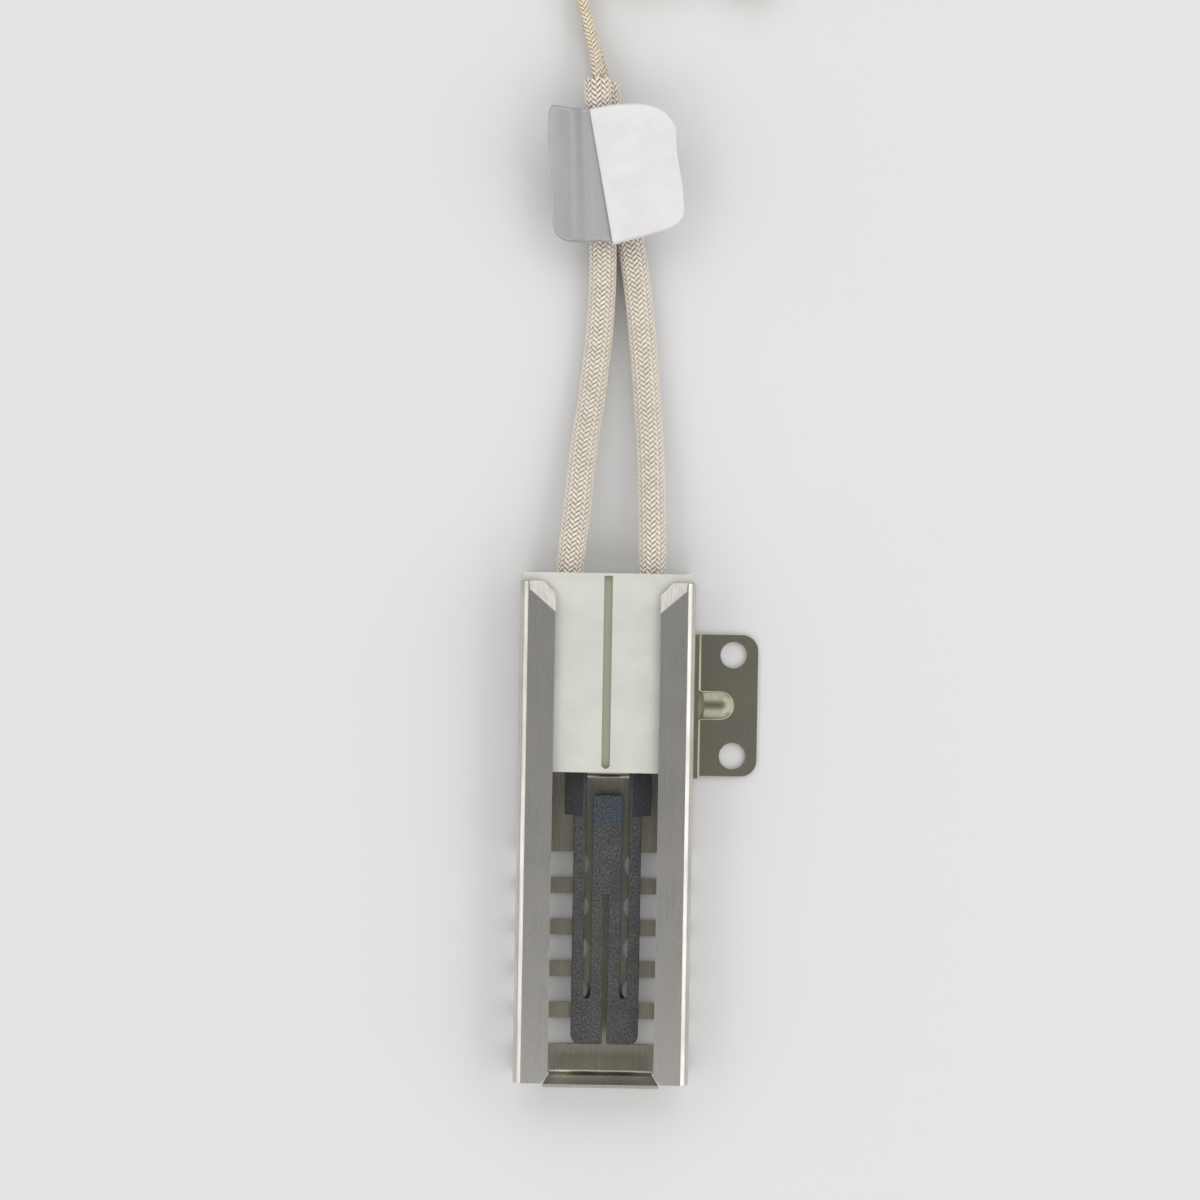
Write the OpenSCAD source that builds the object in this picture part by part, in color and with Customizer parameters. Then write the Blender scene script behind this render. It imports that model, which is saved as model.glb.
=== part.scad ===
// Flat hot-surface igniter for a gas oven burner, all sizes in millimetres.
// A silicon carbide element stands out of a ceramic block, inside a bent sheet-steel guard cage
// with a mounting bracket on its right wall. Two sleeved leads leave the block at the top.
// Origin: midway between the two bracket holes, on the face that the bracket seats with.
// +Z is away from the seat, +Y towards the leads, +X from the cage towards the bracket.

/* [Guard cage] */
// Outside width across the two side walls
cage_w = 32.5; // [30:0.5:44]
// Outside height, from the back face to the top of the flanges
cage_h = 12.7; // [12:0.1:18]
// Length of the side walls and flanges
cage_len = 92.6; // [85:0.1:120]
// Sheet thickness of the cage
cage_t = 0.6; // [0.5:0.05:0.9]
// Outside radius of the bends between the back and the walls
back_bend_r = 1.5; // [1:0.1:1.8]
// Outside radius of the bends between the walls and the flanges
flange_bend_r = 2; // [1.2:0.1:2.4]
// Clear width between the two flanges
window_w = 19.5; // [17:0.5:22]
// Distance from the flange ends at the lead end to the middle of the bracket
bracket_from_end = 22.8; // [18:0.1:30]
// Width of the end wall where it leaves the back
end_wall_base_w = 19.4; // [16:0.1:22]
// Width of the end wall at its top edge
end_wall_top_w = 21.4; // [16:0.1:23]
// Cut-off at the inner corners of the flanges at the end wall
flange_chamfer = 1.3; // [0.5:0.1:3]
// Length of the crimped corner along the inner edge of each flange
crimp_len = 5.7; // [4:0.1:8]
// Distance of the crimp's fold line from the flange end, at the wall
crimp_root = 1.8; // [1:0.1:3]
// Cut-off at the tip of each crimped corner
crimp_chamfer = 2.3; // [1:0.1:3]
// Gap between the tips of the crimped corners and the block that they hold
crimp_gap = 0.25; // [0.15:0.05:0.5]

/* [Cage slots] */
// Number of rows of slots
slot_rows = 5; // [3:1:6]
// Distance between the rows
slot_pitch = 7.84; // [6.5:0.01:9]
// Width of a slot along the cage
slot_w = 4.9; // [4.2:0.1:5.2]
// Width of the web between the round inner ends
slot_web_w = 6.5; // [5:0.1:9]
// Height that the slots reach up the side walls
slot_top_z = 9.5; // [7:0.1:9.8]
// Distance from the end wall to the lower edge of the last slot
slot_from_end = 5.5; // [3:0.1:8]
// Shift of the slots, the stop tab and the element off the cage's centreline
inner_shift = 0.6; // [0:0.1:1]

/* [Stop tab] */
// Width of the stop tab lanced out of the back
tab_w = 8; // [5:0.5:10]
// Height that the stop tab stands up to
tab_h = 4.1; // [3:0.1:5]
// Outside radius of the stop tab's bend
tab_bend_r = 1.6; // [1:0.1:2.4]
// Width of the cut round the lanced tab
lance_gap = 0.4; // [0.3:0.1:0.8]

/* [Mounting bracket] */
// Sheet thickness of the bracket
bracket_t = 0.8; // [0.7:0.05:1.2]
// Distance from the hole centres to the ends of the bracket
bracket_end = 3.8; // [3.2:0.1:6]
// Distance from the leg's outer face to the hole centres
bracket_reach = 6.8; // [6:0.1:10]
// Distance from the hole centres to the outer edge
bracket_margin = 4.6; // [4:0.1:7]
// Height of the leg that is welded to the cage wall
bracket_leg_h = 9.2; // [9:0.1:10.5]
// Radius of the two outer corners
bracket_corner_r = 3; // [1:0.1:4]
// Distance between the two mounting holes
hole_spacing = 19.05; // [16:0.05:20]
// Diameter of the mounting holes
hole_d = 5; // [4:0.1:5.5]
// Width of the pressed rib
rib_w = 5.5; // [4:0.1:7]
// Height of the pressed rib above the sheet
rib_h = 1; // [0.6:0.1:1.3]
// Distance from the leg's outer face to the rounded end of the rib
rib_len = 7.1; // [5:0.1:8]
// Distance from each end of the bracket to its nearest weld spot
weld_edge = 3.2; // [2:0.1:4]
// Distance between the two weld spots on one side of the rib
weld_pitch = 5; // [4:0.1:6]
// Diameter of a weld nugget
weld_d = 2.4; // [1.5:0.1:3]

/* [Ceramic block] */
// Length of the block from its lip's outer face to its lower end
block_len = 36.9; // [34:0.1:45]
// Thickness of the lip outside the cage
lip_t = 1.65; // [1:0.05:3]
// Gap between the block's top and the flanges over it
block_play = 0.95; // [0.5:0.05:1.2]
// Side clearance between the block and each cage wall
block_gap = 0.15; // [0.05:0.05:0.4]
// Clearance between the block and the cage back
block_lift = 0.05; // [0.05:0.05:0.3]
// Width of the groove along the top
groove_w = 1.6; // [1:0.1:3]
// Depth of the groove
groove_d = 1; // [0.5:0.1:1.5]
// Distance between the two lead holes
lead_hole_spacing = 15.5; // [14.5:0.1:17]
// Shift of the lead holes off the cage's centreline
lead_hole_shift = 0.3; // [0:0.1:0.6]
// Height of the lead holes above the seat
lead_hole_z = 6.1; // [5.7:0.1:6.5]
// Depth that the sleeves are held in the block
sleeve_socket_depth = 2.5; // [1.5:0.1:4]

/* [Heating element] */
// Thickness of the element
element_t = 1.5; // [1:0.1:2]
// Height of the element's middle plane above the seat
element_z = 5.9; // [5.7:0.1:6.2]
// Width of each outer leg
leg_w = 2.2; // [1.5:0.1:3]
// Width of the gap between an outer leg and the middle blade
leg_gap = 1.35; // [1:0.05:2]
// Width of the middle blade
blade_w = 5.5; // [4.5:0.1:7]
// Width of the slit that splits the middle blade
slit_w = 0.85; // [0.5:0.05:1.2]
// Distance that the element reaches out of the block
element_out = 50.95; // [45:0.05:52]
// Depth that the pads are held inside the block
element_in = 10.4; // [8:0.1:12]
// Distance from the block to the top of the middle blade
blade_start = 4.5; // [3:0.1:8]
// Distance from the block to the top of the slit
slit_start = 23; // [15:0.5:30]
// Distance from the element's tips to the end of the outer gaps
tip_len = 9.15; // [6:0.05:12]
// Radius of the outer corners at the tips
tip_r = 1.8; // [0.5:0.1:3]
// Width of a terminal pad
pad_w = 3.7; // [3:0.1:4]
// Distance that the pads reach out of the block
pad_out = 8.2; // [5:0.1:12]

/* [Leads] */
// Diameter over a lead's insulation
lead_d = 2.25; // [2:0.05:2.4]
// Diameter of the bare conductor
conductor_d = 1.6; // [1:0.1:1.7]
// Outside diameter of a braided sleeve
sleeve_d = 5.2; // [4.6:0.1:5.2]
// Difference between a sleeve's bore and the lead in it
sleeve_play = 0.55; // [0.4:0.05:0.8]
// Clearance round a sleeve in its socket and round a lead in its hole
lead_gap = 0.3; // [0.25:0.05:0.5]
// Sheet thickness of the terminal clips
clip_t = 0.3; // [0.2:0.05:0.5]
// Wall of the crimp ferrules
ferrule_t = 0.4; // [0.3:0.05:0.6]
// Thickness of the tie strap round the coil
tie_t = 0.4; // [0.3:0.05:0.6]
// Width of the tie strap
tie_w = 2.4; // [1.5:0.1:4]

/* [Tag] */
// Thickness of the folded tag
tag_t = 0.25; // [0.15:0.05:0.4]
// Corner radius of the tag
tag_corner_r = 2.6; // [1:0.1:4]

/* [Connector] */
// Distance between the two leads in the connector
connector_pitch = 4.2; // [3.8:0.1:5]
// Length of the connector housing
connector_len = 10; // [9:0.5:11]
// Height of the connector housing
connector_h = 6.6; // [6:0.1:8]
// Wall between a contact cavity and the outside
connector_wall = 0.9; // [0.7:0.1:1.5]

/* [Hidden] */
$fn = 48;

over = 1;                // how far a cutting body runs past the face it cuts
left = -1;               // side of the cage, as a sign along X
right = 1;

bracket_len = hole_spacing + 2 * bracket_end; // length of the bracket along the cage
wall_x = -bracket_reach - bracket_t;          // outer face of the cage's right wall
cage_x = wall_x - cage_w / 2;                 // centreline of the cage
cage_y1 = bracket_from_end;                   // flange ends at the lead end
cage_y0 = cage_y1 - cage_len;                 // flange ends at the end wall
inner_x = cage_x + inner_shift;               // centreline of the slots and the element
end_wall_gap = 0.05;                          // between the end wall and the flange ends

lip_gap = 0.05;                               // between the lip and the flange ends
lip_inset = 0.25;                             // each end of the lip, inside the cage's outline
lip_drop = 0.3;                               // how far the lip covers the end of the cage back
block_y1 = cage_y1 + lip_gap + lip_t;         // outer face of the lip
block_y0 = block_y1 - block_len;              // lower end of the block
block_z0 = cage_t + block_lift;
block_top = cage_h - cage_t - block_play;     // upper face of the block
block_w = cage_w - 2 * (cage_t + block_gap);
lip_w = cage_w - 2 * lip_inset;
block_low_r = 1.1;                            // rounding that clears the cage's back bends
block_edge_r = 0.6;                           // rounding of the block's upper long edges
groove_end = 0.7;                             // solid left below the groove's round end
groove_stop = 0.5;                            // solid left in the lip above the groove

flange_inner = window_w / 2;                  // from the centreline to a flange's edge
flange_flat = cage_w / 2 - flange_bend_r;     // from the centreline to the flange bend
stop_gap = 0.1;                               // between the stop tab and the block's lower end
tab_y = block_y0 - stop_gap;                  // upper face of the stop tab

blade_half = blade_w / 2;
leg_in = blade_half + leg_gap;                // inner edge of an outer leg
leg_out = leg_in + leg_w;
element_y0 = block_y0 - element_out;          // the element's tips
pad_step = 0.2;                               // step from a leg's inner edge to its pad's
pad_in = leg_in + pad_step;                   // inner edge of a pad
pad_edge = pad_in + pad_w;                    // outer edge of a pad
pad_y1 = block_y0 + element_in;               // end of the pads inside the block
cement_depth = 3;                             // depth of cement at the pocket mouths
cement_wall = 0.9;                            // cement between a pad and its pocket mouth
cement_proud = 0.25;                          // cement standing out of the block
pocket_clear = 0.6;                           // room beside a pad behind the cement
pocket_rise = 0.4;                            // room over and under a clip
cement_gap = 0.05;                            // between a lead and the cement that it was set in
lead_cement_len = 3.5;                        // length of the cement round a lead
lead_cement_gap = 0.5;                        // from that cement to the end of the sleeve

ferrule_r = conductor_d / 2 + ferrule_t;
ferrule_len = 5;
lead_in_block = 11.5;                         // length of insulated lead inside the block
lead_y0 = block_y1 - lead_in_block;           // where the insulation starts, at the ferrule
ferrule_y0 = lead_y0 - ferrule_len;
clip_len = 6;                                 // grip of a clip on its pad
clip_open = 0.6;                              // part of a pad's width that its clip leaves bare
clip_tail_w = 2;                              // height of the strip from a clip to its ferrule
fit = 0.1;                                    // clearance of one small part in another
bore_r = max(lead_d / 2 + lead_gap, ferrule_r + fit);
sleeve_socket_r = sleeve_d / 2 + lead_gap;
sleeve_bore_d = lead_d + sleeve_play;
sleeve_y0 = block_y1 - sleeve_socket_depth;

// A lead's centreline: straight out of the block, then the points that follow. The points were
// chosen for leads that leave the block at left_exit and right_exit, and they move with the real
// hole, less and less towards the coil.
left_exit = [-31.3, 24.5, 6.1];
right_exit = [-15.8, 24.5, 6.1];
function from_block(side, chosen_exit, points) =
    let (hole = [bore_x(side), block_y1, lead_hole_z], n = len(points))
    concat(
        [[hole[0], lead_y0, hole[2]], [hole[0], sleeve_y0, hole[2]]],
        [for (i = [0 : n - 1]) points[i] + (1 - (i + 1) / n) * (hole - chosen_exit)]
    );

// Every other point from the second to the sixteenth is also a ring of the sleeve
left_run = from_block(left, left_exit, [
    [-30.8, 29, 5.9], [-30, 36, 5.4], [-29.5, 42, 4.7], [-28.8, 49, 4], [-27.8, 56, 3.4],
    [-27, 63, 3], [-26.4, 69, 2.8], [-26, 76, 2.9], [-25.9, 83, 3.6], [-26.1, 90, 5.2],
    [-26.5, 96, 6.6], [-26.9, 103, 7.5], [-27.2, 110, 7.9], [-27.6, 116.6, 8],
    [-28.1, 121.5, 6.2], [-29.4, 127, 4.4], [-30.8, 133, 3.6], [-31.7, 139, 3.7],
    [-32.1, 144, 3.85], [-32.2, 148.5, 3.85]
]);
// The right lead ends up lying under the left one
right_run = from_block(right, right_exit, [
    [-15.8, 29, 5.9], [-16, 36, 5.4], [-16.2, 42, 4.7], [-16.5, 49, 4], [-17.1, 56, 3.4],
    [-17.7, 63, 3], [-18.3, 69, 2.8], [-19.1, 76, 2.7], [-20.1, 83, 2.7], [-21.4, 90, 2.7],
    [-22.6, 96, 2.7], [-24, 103, 2.7], [-25.3, 110, 2.7], [-26.1, 116.6, 2.7],
    [-27.4, 121.5, 1.7], [-29.4, 127, 1.2], [-30.8, 133, 1.2], [-31.7, 139, 1.3],
    [-32.1, 144, 1.55], [-32.2, 148.5, 1.55]
]);
sleeve_first = 1;        // first and last point of a run that its sleeve covers
sleeve_last = 15;

// The coil is a flat spiral that each lead makes in its own layer
coil_x = -18.3;
coil_y = 148.5;
coil_r_in = 7.4;
coil_r_out = 15.1;
coil_layer = lead_d + 0.05;   // height of one layer
coil_z = tie_t;          // the coil lies on its tie

// The tails leave the inner turn, pass over the coil and go down into the connector
left_tail = [
    [-27.5, 148.5, 3.85], [-26.1, 153, 4], [-22.7, 156.1, 4.7], [-18.3, 157.1, 5.6],
    [-13.7, 157.1, 6.2], [-9, 157.1, 6.3], [-4.7, 157.1, 5.9], [-0.7, 156, 5.1],
    [2.2, 153.1, 4.2], [3.3, 149.1, 3.5], [3.3, 145, 3.3]
];
right_tail = [
    [-26, 144, 1.55], [-25.9, 148.5, 1.7], [-24, 151.8, 2.5], [-21.4, 154, 3.5],
    [-18.3, 154.8, 4.6], [-14.5, 154.8, 5.7], [-10.5, 154.8, 6.2], [-6.6, 154.8, 6.2],
    [-3.7, 154, 5.9], [-1.7, 152, 5], [-0.9, 149.1, 4], [-0.9, 145, 3.3]
];
connector_x = 1.2;
connector_y1 = 145;      // rear face of the connector, where the leads go in
connector_z = 3.3;       // height of the contacts
cavity_gap = 0.2;        // between a lead and its cavity
cavity_r = lead_d / 2 + cavity_gap;
connector_w = connector_pitch + 2 * (cavity_r + connector_wall);
connector_edge_r = 0.5;
contact_w = 1.7;
contact_t = 0.3;
contact_inset = 1;       // from the mating face to the end of a contact
contact_back = 1;        // solid end of a contact, where its lead is crimped on
lead_seat = 3;           // depth that a lead goes into the housing

// Two cross-sections of the folded tag, one at each end, as X and Z of its middle surface.
// The heights are above the radius of the sleeves, which the tag lies on.
tag_y0 = 85;
tag_y1 = 112.5;
tag_low = [
    [-36, 3.1], [-29.2, 4.5], [-27.8, 5.5], [-26.2, 5.9], [-24.3, 5.6], [-17, 5.2], [-9, 4.4]
];
tag_high = [
    [-37.5, 6.2], [-30.4, 7.5], [-29.5, 8.3], [-28.7, 8.6], [-27.4, 8.6], [-19, 8], [-9, 7]
];
tag_outline = [
    [-36.6, 109.8], [-29.4, 111.2], [-20.2, 112], [-12.6, 107.6], [-9.9, 92],
    [-12.2, 87.8], [-23.8, 85.4], [-29, 86], [-33.6, 86.2], [-35.4, 90]
];

// ---------- shapes used by several sub-parts ----------

// Upright rectangle from x0, z0 to x1, z1 with its own radius at the lower and upper corners
module rounded_section(x0, z0, x1, z1, low_r, high_r) {
    translate([x0 + low_r, z0]) square([x1 - x0 - 2 * low_r, z1 - z0]);
    translate([x0, z0 + low_r]) square([low_r, z1 - z0 - low_r - high_r]);
    translate([x1 - low_r, z0 + low_r]) square([low_r, z1 - z0 - low_r - high_r]);
    translate([x0 + high_r, z1 - high_r]) square([x1 - x0 - 2 * high_r, high_r]);
    for (x = [x0 + low_r, x1 - low_r]) translate([x, z0 + low_r]) circle(low_r);
    for (x = [x0 + high_r, x1 - high_r]) translate([x, z1 - high_r]) circle(high_r);
}

// Stands an XZ outline up and runs it from y0 to y1
module along_y(y0, y1) {
    translate([0, y1, 0]) rotate([90, 0, 0]) linear_extrude(y1 - y0) children();
}

// Box between two opposite corners
module box(a, b) {
    translate(a) cube([b[0] - a[0], b[1] - a[1], b[2] - a[2]]);
}

function unit(v) = v / norm(v);
// Direction of a route at point i, from its two neighbours
function heading(p, i) = unit(p[min(i + 1, len(p) - 1)] - p[max(i - 1, 0)]);
// Ring of a tube at point i, kept level at the sides
function ring(p, i, r, sides) =
    let (d = heading(p, i), side = unit(cross(d, [0, 0, 1])), up = cross(side, d))
    [for (k = [0 : sides - 1]) p[i] + r * (cos(360 * k / sides) * side + sin(360 * k / sides) * up)];
// Quads that join ring i to ring i + 1, counted from a first point
function skin(rings, sides, first, flip) = [
    for (i = [0 : rings - 2], k = [0 : sides - 1])
        let (a = first + i * sides + k, b = first + i * sides + (k + 1) % sides)
        flip ? [b, a, a + sides, b + sides] : [a, b, b + sides, a + sides]
];

// Solid round tube along a route
module cord_tube(p, r, sides) {
    rings = len(p);
    points = [for (i = [0 : rings - 1]) each ring(p, i, r, sides)];
    ends = [
        [for (k = [sides - 1 : -1 : 0]) k],
        [for (k = [0 : sides - 1]) (rings - 1) * sides + k]
    ];
    polyhedron(points, concat(skin(rings, sides, 0, false), ends), convexity = 6);
}

// Hollow round tube along a route
module hollow_tube(p, r, bore, sides) {
    rings = len(p);
    outer = [for (i = [0 : rings - 1]) each ring(p, i, r, sides)];
    inner = [for (i = [0 : rings - 1]) each ring(p, i, bore, sides)];
    n = rings * sides;
    last = (rings - 1) * sides;
    ends = [
        for (k = [0 : sides - 1])
            let (m = (k + 1) % sides)
            each [[m, k, n + k, n + m], [last + k, last + m, n + last + m, n + last + k]]
    ];
    polyhedron(
        concat(outer, inner),
        concat(skin(rings, sides, 0, false), skin(rings, sides, n, true), ends),
        convexity = 8
    );
}

function sleeve_route(run) = [for (i = [sleeve_first : 2 : sleeve_last]) run[i]];

// ---------- guard cage ----------

// The wrapped sheet: back, walls and flanges
module cage_channel() {
    half = cage_w / 2;
    along_y(cage_y0, cage_y1) difference() {
        translate([cage_x, 0])
            rounded_section(-half, 0, half, cage_h, back_bend_r, flange_bend_r);
        translate([cage_x, 0])
            rounded_section(-half + cage_t, cage_t, half - cage_t, cage_h - cage_t,
                back_bend_r - cage_t, flange_bend_r - cage_t);
        translate([cage_x - flange_inner, cage_h / 2]) square([window_w, cage_h]);
    }
}

// One slot on one side: round inner end in the back, round top in the wall
module cage_slot(side, y) {
    inner = slot_web_w / 2 + slot_w / 2;
    outer = cage_w / 2 + abs(inner_shift) + over;
    translate([inner_x, y, 0]) {
        translate([side * inner, 0, -over]) cylinder(h = cage_t + 2 * over, d = slot_w);
        translate([side * (inner + outer) / 2, 0, (slot_top_z - slot_w / 2 - over) / 2])
            cube([outer - inner, slot_w, slot_top_z - slot_w / 2 + over], center = true);
    }
    translate([cage_x + side * (cage_w / 2 - cage_t - over), y, slot_top_z - slot_w / 2])
        rotate([0, side * 90, 0]) cylinder(h = cage_t + 2 * over, d = slot_w);
}

// Outline of a flange's corner that is pressed down, seen from above, on the right side.
// The pressed corner runs a little way into the bend.
module crimp_outline(into_bend) {
    polygon([
        [flange_flat, cage_y1 - crimp_root], [flange_inner, cage_y1 - crimp_len],
        [flange_inner, cage_y1 - crimp_chamfer], [flange_inner + crimp_chamfer, cage_y1],
        [flange_flat + into_bend, cage_y1], [flange_flat + into_bend, cage_y1 - crimp_root]
    ]);
}

// The cut-off at the tip of that corner
module crimp_cut_off() {
    polygon([
        [flange_inner - over, cage_y1 - crimp_len], [flange_inner, cage_y1 - crimp_len],
        [flange_inner, cage_y1 - crimp_chamfer], [flange_inner + crimp_chamfer, cage_y1],
        [flange_inner + crimp_chamfer, cage_y1 + over], [flange_inner - over, cage_y1 + over]
    ]);
}

// The fold line of the right crimp
crimp_a = [flange_flat, cage_y1 - crimp_root];
crimp_b = [flange_inner, cage_y1 - crimp_len];
crimp_turn = atan2(crimp_a[1] - crimp_b[1], crimp_a[0] - crimp_b[0]);
// Distance of the crimp's tip from its fold line, and the angle that takes the tip to the block
crimp_reach = crimp_chamfer * (cos(crimp_turn) - sin(crimp_turn))
    + (crimp_len - crimp_chamfer) * cos(crimp_turn);
crimp_angle = asin((block_play - crimp_gap) / crimp_reach);

// The pressed corner, folded down about its fold line
module crimp_patch() {
    translate([crimp_b[0], crimp_b[1], cage_h - cage_t]) rotate([0, 0, crimp_turn])
        rotate([-crimp_angle, 0, 0]) rotate([0, 0, -crimp_turn])
        translate([-crimp_b[0], -crimp_b[1], 0]) linear_extrude(cage_t)
        crimp_outline(cage_t / 2);
    intersection() {
        translate([crimp_b[0], crimp_b[1], cage_h - cage_t]) rotate([0, 0, crimp_turn])
            rotate([0, 90, 0])
            cylinder(h = norm(crimp_a - crimp_b), r = cage_t);
        box([flange_inner, cage_y1 - crimp_len - over, cage_h - cage_t],
            [flange_flat, cage_y1, cage_h]);
    }
}

// Everything above the pressed corner's face, which also planes the end of the bend
module crimp_clearance() {
    translate([crimp_b[0], crimp_b[1], cage_h]) rotate([0, 0, crimp_turn])
        rotate([-crimp_angle, 0, 0]) cube([cage_w, cage_w, cage_h]);
}

module on_side(side) {
    translate([cage_x, 0, 0]) scale([side, 1, 1]) children();
}

// The wall bent up from the back, closing the end between the flanges
module end_wall() {
    y_out = cage_y0 - end_wall_gap - cage_t;
    bend = back_bend_r;
    base = end_wall_base_w / 2;
    top = end_wall_top_w / 2;
    translate([cage_x, 0, 0]) {
        along_y(y_out, y_out + cage_t)
            polygon([[-base, bend], [base, bend], [top, cage_h], [-top, cage_h]]);
        translate([-base, y_out + bend, bend]) rotate([0, 90, 0])
            intersection() {
                difference() {
                    cylinder(h = end_wall_base_w, r = bend);
                    translate([0, 0, -over])
                        cylinder(h = end_wall_base_w + 2 * over, r = bend - cage_t);
                }
                translate([0, -bend, 0]) cube([bend, bend, end_wall_base_w]);
            }
        box([-base, y_out + bend, 0], [base, cage_y0 + bend, cage_t]);
    }
}

// The tab lanced out of the back, which stops the block
module stop_tab() {
    x0 = inner_x - tab_w / 2;
    translate([x0, tab_y - tab_bend_r, tab_bend_r]) rotate([0, 90, 0]) intersection() {
        difference() {
            cylinder(h = tab_w, r = tab_bend_r);
            translate([0, 0, -over]) cylinder(h = tab_w + 2 * over, r = tab_bend_r - cage_t);
        }
        cube([tab_bend_r, tab_bend_r, tab_w]);
    }
    box([x0, tab_y - cage_t, tab_bend_r], [x0 + tab_w, tab_y, tab_h]);
}

module guard_cage() {
    color("#a09c92") {
        difference() {
            cage_channel();
            for (side = [left, right], i = [0 : slot_rows - 1])
                cage_slot(side, cage_y0 + slot_from_end + slot_w / 2 + i * slot_pitch);
            // window that the stop tab came out of
            box([inner_x - tab_w / 2 - lance_gap, tab_y - tab_bend_r, -over],
                [inner_x + tab_w / 2 + lance_gap, tab_y + tab_h, cage_t + over / 2]);
            for (side = [left, right]) {
                on_side(side) crimp_clearance();
                on_side(side) translate([0, 0, cage_h - cage_t])
                    linear_extrude(cage_t + over) {
                        crimp_outline(0);
                        crimp_cut_off();
                    }
                on_side(side) translate([0, 0, cage_h - cage_t - over])
                    linear_extrude(cage_t + 2 * over) polygon([
                        [flange_inner - over, cage_y0 - over],
                        [flange_inner + flange_chamfer + over, cage_y0 - over],
                        [flange_inner - over, cage_y0 + flange_chamfer + over]
                    ]);
            }
            nugget_row();
        }
        for (side = [left, right]) on_side(side) crimp_patch();
        end_wall();
        stop_tab();
    }
}

// ---------- mounting bracket and its welds ----------

rib_r = (pow(rib_w / 2, 2) + pow(rib_h, 2)) / (2 * rib_h);   // section radius of the rib
rib_drop = rib_r - rib_h;                                    // its centre below the sheet
rib_slope = 0.5;                                             // how far the rib fills the corner
rib_top_gap = 1.2;                                           // sheet left flat above the rib

// The rib's rounded ridge along the tab and up the leg, grown or shrunk by an offset
module rib_ridge(offset_r) {
    r = rib_r + offset_r;
    face_x = -bracket_reach;
    end_x = face_x + rib_len - rib_w / 2;
    z = bracket_t - rib_drop;
    x = face_x - rib_drop;
    top_z = bracket_leg_h - rib_top_gap - rib_w / 2;
    translate([x - rib_r, 0, z]) rotate([0, 90, 0]) cylinder(h = end_x - x + rib_r, r = r);
    translate([end_x, 0, z]) sphere(r);
    translate([x, 0, z - rib_r]) cylinder(h = top_z - z + rib_r, r = r);
    translate([x, 0, top_z]) sphere(r);
    // the slope across the corner
    translate([face_x + rib_slope, 0, bracket_t + rib_slope]) rotate([0, -45, 0])
        translate([-rib_drop, 0, -rib_len]) cylinder(h = 2 * rib_len, r = r);
}

module bracket_sheet() {
    half = bracket_len / 2;
    bend = 2 * bracket_t;
    difference() {
        union() {
            // tab with two rounded corners
            linear_extrude(bracket_t) {
                translate([wall_x + bend, -half])
                    square([bracket_margin - bracket_corner_r - wall_x - bend, bracket_len]);
                translate([wall_x + bend, -half + bracket_corner_r])
                    square([bracket_margin - wall_x - bend, bracket_len - 2 * bracket_corner_r]);
                for (s = [-1, 1])
                    translate([bracket_margin - bracket_corner_r, s * (half - bracket_corner_r)])
                        circle(bracket_corner_r);
            }
            // leg
            box([wall_x, -half, bend], [wall_x + bracket_t, half, bracket_leg_h]);
            // bend between them
            along_y(-half, half) intersection() {
                difference() {
                    translate([wall_x + bend, bend]) circle(bend);
                    translate([wall_x + bend, bend]) circle(bend - bracket_t);
                }
                translate([wall_x, 0]) square([bend, bend]);
            }
        }
        for (s = [-1, 1])
            translate([0, s * hole_spacing / 2, -over]) cylinder(h = bracket_t + 2 * over, d = hole_d);
    }
}

module mounting_bracket() {
    color("#8c8a80") difference() {
        union() {
            bracket_sheet();
            intersection() {
                rib_ridge(0);
                box([wall_x, -rib_w / 2, 0], [bracket_margin, rib_w / 2, bracket_leg_h]);
            }
        }
        rib_ridge(-bracket_t);
        nugget_row();
    }
}

nugget_depth = 0.35;     // how far a weld nugget reaches into each sheet

module nugget_row() {
    for (s = [-1, 1], i = [0, 1])
        translate([wall_x - nugget_depth, s * (bracket_len / 2 - weld_edge - i * weld_pitch),
            bracket_leg_h - weld_d])
            rotate([0, 90, 0]) cylinder(h = 2 * nugget_depth, d = weld_d);
}

module weld_nuggets() {
    color("#77746c") nugget_row();
}

// ---------- ceramic block ----------

function bore_x(side) = cage_x + lead_hole_shift + side * lead_hole_spacing / 2;
function pad_x(side) = inner_x + side * (pad_in + pad_w / 2);

// Room for a pad, its clip and its ferrule inside the block
module terminal_pocket(side) {
    edge_in = pad_x(side) - side * (pad_w / 2 + pocket_clear);
    edge_out = side * max(side * (pad_x(side) + side * (pad_w / 2 + pocket_clear)),
        side * (bore_x(side) + side * bore_r));
    half = element_t / 2 + clip_t + pocket_rise;
    box([min(edge_in, edge_out), block_y0 + cement_depth - over / 2, element_z - half],
        [max(edge_in, edge_out), ferrule_y0, element_z + half]);
}

// Mouth of a pocket at the block's lower end, filled with cement
module cement_mouth(side, y0) {
    grow = pad_w / 2 + cement_wall;
    high = element_t / 2 + cement_wall;
    box([pad_x(side) - grow, y0, element_z - high],
        [pad_x(side) + grow, block_y0 + cement_depth, element_z + high]);
}

module lead_bore(side, r, y0, y1) {
    translate([bore_x(side), y1, lead_hole_z]) rotate([90, 0, 0]) cylinder(h = y1 - y0, r = r);
}

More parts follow.
